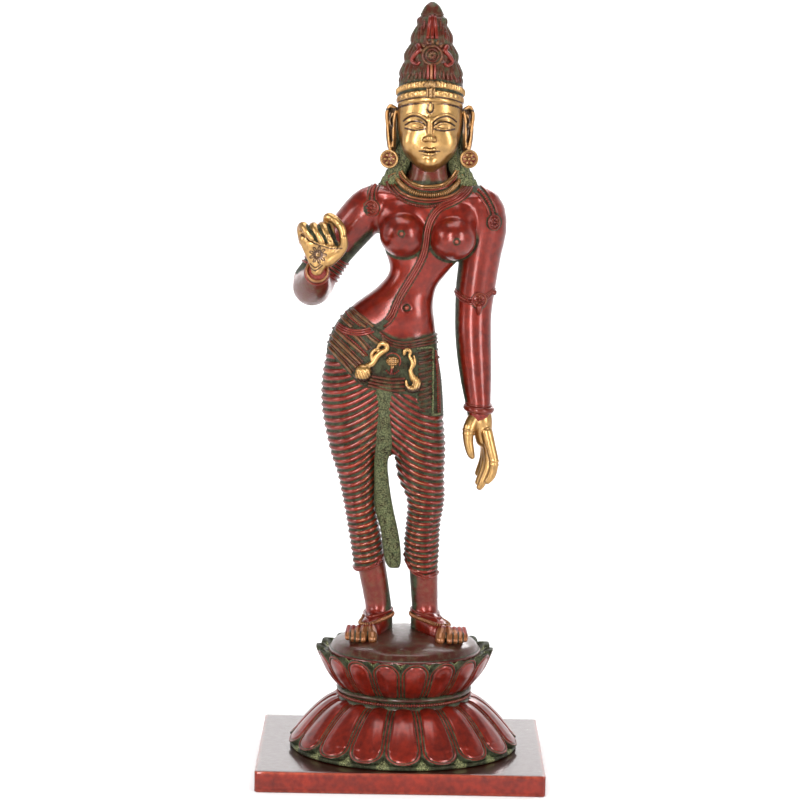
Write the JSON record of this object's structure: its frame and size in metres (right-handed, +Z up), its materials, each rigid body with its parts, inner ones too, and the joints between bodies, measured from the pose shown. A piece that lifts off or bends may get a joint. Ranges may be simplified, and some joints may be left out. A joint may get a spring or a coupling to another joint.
{
  "type": "standing goddess statue",
  "caption": "Standing goddess in cast brass with a tall crown, pleated skirt and jewellery, on a double lotus and a flat rectangular plate.",
  "frame": {"origin": "centre of the base plate's underside", "axes": "+Z up from the plate to the crown; the figure faces -Y; its own right hand is on the -X side"},
  "size_m": [0.19, 0.164, 0.5135],
  "materials": {
    "red_lacquer": "brass with dark red lacquer, worn gold on the ornaments, green-grey patina in the recesses",
    "red_lacquer_plate": "brass with dark red lacquer, gold showing at the worn edges"
  },
  "bodies": {
    "root": {"figure": "red_lacquer", "base_plate": "red_lacquer_plate"}
  },
  "joints": []
}
